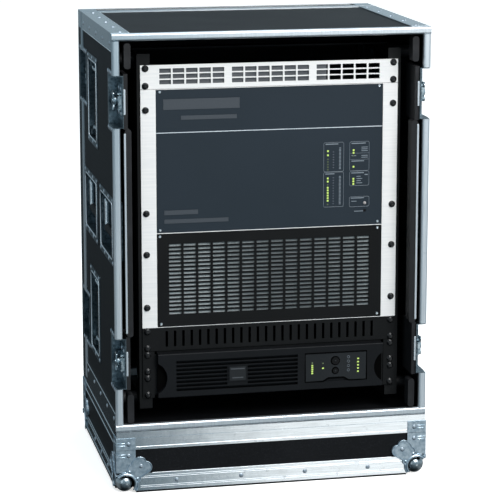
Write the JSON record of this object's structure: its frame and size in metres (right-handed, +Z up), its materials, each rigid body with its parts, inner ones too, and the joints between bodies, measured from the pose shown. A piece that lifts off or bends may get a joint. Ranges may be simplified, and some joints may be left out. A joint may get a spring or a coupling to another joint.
{
  "type": "flight-cased equipment rack",
  "caption": "Road case on a plinth, front lid off, holding rack units: vent panels, a processing rack with a fascia and air grille, and a rack UPS.",
  "frame": {"origin": "on the floor under the middle of the case", "axes": "+Z up, -Y out of the open rack front, +X to the right as seen from the front"},
  "size_m": [0.5952, 0.4552, 0.8534],
  "materials": {
    "laminate": "black phenolic laminate on plywood",
    "edge_aluminium": "satin extruded",
    "zinc_hardware": "zinc plated",
    "bail_steel": "zinc plated with a black grip",
    "latch_steel": "zinc plated",
    "button_plastic": "satin",
    "fan_plastic": "matte",
    "black_rubber": "matte",
    "black_steel": "black powder coat",
    "silver_panel": "satin silver",
    "fascia_paint": "satin blue-grey",
    "filter_foam": "open foam",
    "circuit_board": "solder resist",
    "module_case": "plated module of mixed parts",
    "bezel_plastic": "textured",
    "panel_plastic": "satin",
    "battery_plastic": "moulded",
    "green_lens": "lit lens"
  },
  "bodies": {
    "case": {"ball_corners": "zinc_hardware", "base_panels": "laminate", "core_chassis": "black_steel", "core_ears": "silver_panel", "core_fascia": "fascia_paint", "core_grille": "black_steel", "corner_braces": "zinc_hardware", "edge_bars": "edge_aluminium", "edge_trim": "black_rubber", "fan_frames": "fan_plastic", "front_rim": "edge_aluminium", "grille_filter": "filter_foam", "handle_dishes": "zinc_hardware", "indicator_lenses": "green_lens", "latch_dishes": "zinc_hardware", "latch_plates": "zinc_hardware", "lower_vent_panel": "black_steel", "power_modules": "module_case", "processor_cards": "circuit_board", "rack_frame": "black_steel", "rack_screws": "black_steel", "rear_lid": "laminate", "rear_rims": "edge_aluminium", "rivets": "zinc_hardware", "shock_mounts": "black_rubber", "side_panels": "laminate", "top_panel": "laminate", "top_vent_panel": "silver_panel", "ups_battery": "battery_plastic", "ups_bezel": "bezel_plastic", "ups_chassis": "black_steel", "ups_display_panel": "panel_plastic"},
    "left_front_bail": {"left_front_bail": "bail_steel"},
    "left_rear_bail": {"left_rear_bail": "bail_steel"},
    "left_upper_bail": {"left_upper_bail": "bail_steel"},
    "left_lower_bail": {"left_lower_bail": "bail_steel"},
    "left_front_upper_wing": {"left_front_upper_wing": "latch_steel"},
    "left_front_upper_hook": {"left_front_upper_hook": "latch_steel"},
    "left_front_lower_wing": {"left_front_lower_wing": "latch_steel"},
    "left_front_lower_hook": {"left_front_lower_hook": "latch_steel"},
    "left_rear_upper_wing": {"left_rear_upper_wing": "latch_steel"},
    "left_rear_upper_hook": {"left_rear_upper_hook": "latch_steel"},
    "left_rear_lower_wing": {"left_rear_lower_wing": "latch_steel"},
    "left_rear_lower_hook": {"left_rear_lower_hook": "latch_steel"},
    "right_front_bail": {"right_front_bail": "bail_steel"},
    "right_rear_bail": {"right_rear_bail": "bail_steel"},
    "right_upper_bail": {"right_upper_bail": "bail_steel"},
    "right_lower_bail": {"right_lower_bail": "bail_steel"},
    "right_front_upper_wing": {"right_front_upper_wing": "latch_steel"},
    "right_front_upper_hook": {"right_front_upper_hook": "latch_steel"},
    "right_front_lower_wing": {"right_front_lower_wing": "latch_steel"},
    "right_front_lower_hook": {"right_front_lower_hook": "latch_steel"},
    "right_rear_upper_wing": {"right_rear_upper_wing": "latch_steel"},
    "right_rear_upper_hook": {"right_rear_upper_hook": "latch_steel"},
    "right_rear_lower_wing": {"right_rear_lower_wing": "latch_steel"},
    "right_rear_lower_hook": {"right_rear_lower_hook": "latch_steel"},
    "ups_upper_button": {"ups_upper_button": "button_plastic"},
    "ups_lower_button": {"ups_lower_button": "button_plastic"},
    "left_fan_rotor": {"left_fan_rotor": "fan_plastic"},
    "right_fan_rotor": {"right_fan_rotor": "fan_plastic"}
  },
  "joints": [
    {"name": "left_front_handle_lift", "type": "hinge", "parent": "case", "child": "left_front_bail", "pos_m": [-0.285, -0.125, 0.524], "axis": [0, 1, 0], "range_deg": [0, 90], "stiffness_Nm_per_rad": 0.3, "springref_deg": -25.78},
    {"name": "left_rear_handle_lift", "type": "hinge", "parent": "case", "child": "left_rear_bail", "pos_m": [-0.285, 0.078, 0.524], "axis": [0, 1, 0], "range_deg": [0, 90], "stiffness_Nm_per_rad": 0.3, "springref_deg": -25.78},
    {"name": "left_upper_handle_lift", "type": "hinge", "parent": "case", "child": "left_upper_bail", "pos_m": [-0.285, 0.077, 0.697], "axis": [0, 0, -1], "range_deg": [0, 90], "stiffness_Nm_per_rad": 0.3, "springref_deg": -25.78},
    {"name": "left_lower_handle_lift", "type": "hinge", "parent": "case", "child": "left_lower_bail", "pos_m": [-0.285, 0.077, 0.28], "axis": [0, 0, -1], "range_deg": [0, 90], "stiffness_Nm_per_rad": 0.3, "springref_deg": -25.78},
    {"name": "left_front_upper_wing_turn", "type": "hinge", "parent": "case", "child": "left_front_upper_wing", "pos_m": [-0.292, -0.197, 0.729], "axis": [-1, 0, 0], "range_deg": [0, 180]},
    {"name": "left_front_upper_hook_slide", "type": "slide", "parent": "case", "child": "left_front_upper_hook", "axis": [0, -1, 0], "range_m": [0, 0.009]},
    {"name": "left_front_lower_wing_turn", "type": "hinge", "parent": "case", "child": "left_front_lower_wing", "pos_m": [-0.292, -0.197, 0.246], "axis": [-1, 0, 0], "range_deg": [0, 180]},
    {"name": "left_front_lower_hook_slide", "type": "slide", "parent": "case", "child": "left_front_lower_hook", "axis": [0, -1, 0], "range_m": [0, 0.009]},
    {"name": "left_rear_upper_wing_turn", "type": "hinge", "parent": "case", "child": "left_rear_upper_wing", "pos_m": [-0.292, 0.149, 0.729], "axis": [-1, 0, 0], "range_deg": [0, 180]},
    {"name": "left_rear_upper_hook_slide", "type": "slide", "parent": "case", "child": "left_rear_upper_hook", "axis": [0, 1, 0], "range_m": [0, 0.009]},
    {"name": "left_rear_lower_wing_turn", "type": "hinge", "parent": "case", "child": "left_rear_lower_wing", "pos_m": [-0.292, 0.149, 0.246], "axis": [-1, 0, 0], "range_deg": [0, 180]},
    {"name": "left_rear_lower_hook_slide", "type": "slide", "parent": "case", "child": "left_rear_lower_hook", "axis": [0, 1, 0], "range_m": [0, 0.009]},
    {"name": "right_front_handle_lift", "type": "hinge", "parent": "case", "child": "right_front_bail", "pos_m": [0.285, -0.125, 0.524], "axis": [0, -1, 0], "range_deg": [0, 90], "stiffness_Nm_per_rad": 0.3, "springref_deg": -25.78},
    {"name": "right_rear_handle_lift", "type": "hinge", "parent": "case", "child": "right_rear_bail", "pos_m": [0.285, 0.078, 0.524], "axis": [0, -1, 0], "range_deg": [0, 90], "stiffness_Nm_per_rad": 0.3, "springref_deg": -25.78},
    {"name": "right_upper_handle_lift", "type": "hinge", "parent": "case", "child": "right_upper_bail", "pos_m": [0.285, 0.077, 0.697], "axis": [0, 0, 1], "range_deg": [0, 90], "stiffness_Nm_per_rad": 0.3, "springref_deg": -25.78},
    {"name": "right_lower_handle_lift", "type": "hinge", "parent": "case", "child": "right_lower_bail", "pos_m": [0.285, 0.077, 0.28], "axis": [0, 0, 1], "range_deg": [0, 90], "stiffness_Nm_per_rad": 0.3, "springref_deg": -25.78},
    {"name": "right_front_upper_wing_turn", "type": "hinge", "parent": "case", "child": "right_front_upper_wing", "pos_m": [0.292, -0.197, 0.729], "axis": [1, 0, 0], "range_deg": [0, 180]},
    {"name": "right_front_upper_hook_slide", "type": "slide", "parent": "case", "child": "right_front_upper_hook", "axis": [0, -1, 0], "range_m": [0, 0.009]},
    {"name": "right_front_lower_wing_turn", "type": "hinge", "parent": "case", "child": "right_front_lower_wing", "pos_m": [0.292, -0.197, 0.246], "axis": [1, 0, 0], "range_deg": [0, 180]},
    {"name": "right_front_lower_hook_slide", "type": "slide", "parent": "case", "child": "right_front_lower_hook", "axis": [0, -1, 0], "range_m": [0, 0.009]},
    {"name": "right_rear_upper_wing_turn", "type": "hinge", "parent": "case", "child": "right_rear_upper_wing", "pos_m": [0.292, 0.149, 0.729], "axis": [1, 0, 0], "range_deg": [0, 180]},
    {"name": "right_rear_upper_hook_slide", "type": "slide", "parent": "case", "child": "right_rear_upper_hook", "axis": [0, 1, 0], "range_m": [0, 0.009]},
    {"name": "right_rear_lower_wing_turn", "type": "hinge", "parent": "case", "child": "right_rear_lower_wing", "pos_m": [0.292, 0.149, 0.246], "axis": [1, 0, 0], "range_deg": [0, 180]},
    {"name": "right_rear_lower_hook_slide", "type": "slide", "parent": "case", "child": "right_rear_lower_hook", "axis": [0, 1, 0], "range_m": [0, 0.009]},
    {"name": "ups_upper_button_press", "type": "slide", "parent": "case", "child": "ups_upper_button", "axis": [0, 1, 0], "range_m": [0, 0.002], "stiffness_N_per_m": 300, "springref_m": -0.001},
    {"name": "ups_lower_button_press", "type": "slide", "parent": "case", "child": "ups_lower_button", "axis": [0, 1, 0], "range_m": [0, 0.002], "stiffness_N_per_m": 300, "springref_m": -0.001},
    {"name": "left_fan_spin", "type": "hinge", "parent": "case", "child": "left_fan_rotor", "pos_m": [-0.081, -0.1515, 0.36305], "axis": [0, 1, 0], "continuous": true},
    {"name": "right_fan_spin", "type": "hinge", "parent": "case", "child": "right_fan_rotor", "pos_m": [0.089, -0.1515, 0.36305], "axis": [0, 1, 0], "continuous": true}
  ],
  "couplings": [
    {"joint": "left_front_upper_wing_turn", "follows": "left_front_upper_hook_slide", "rad_per_m": 349.06},
    {"joint": "left_front_lower_wing_turn", "follows": "left_front_lower_hook_slide", "rad_per_m": 349.06},
    {"joint": "left_rear_upper_wing_turn", "follows": "left_rear_upper_hook_slide", "rad_per_m": 349.06},
    {"joint": "left_rear_lower_wing_turn", "follows": "left_rear_lower_hook_slide", "rad_per_m": 349.06},
    {"joint": "right_front_upper_wing_turn", "follows": "right_front_upper_hook_slide", "rad_per_m": 349.06},
    {"joint": "right_front_lower_wing_turn", "follows": "right_front_lower_hook_slide", "rad_per_m": 349.06},
    {"joint": "right_rear_upper_wing_turn", "follows": "right_rear_upper_hook_slide", "rad_per_m": 349.06},
    {"joint": "right_rear_lower_wing_turn", "follows": "right_rear_lower_hook_slide", "rad_per_m": 349.06}
  ]
}
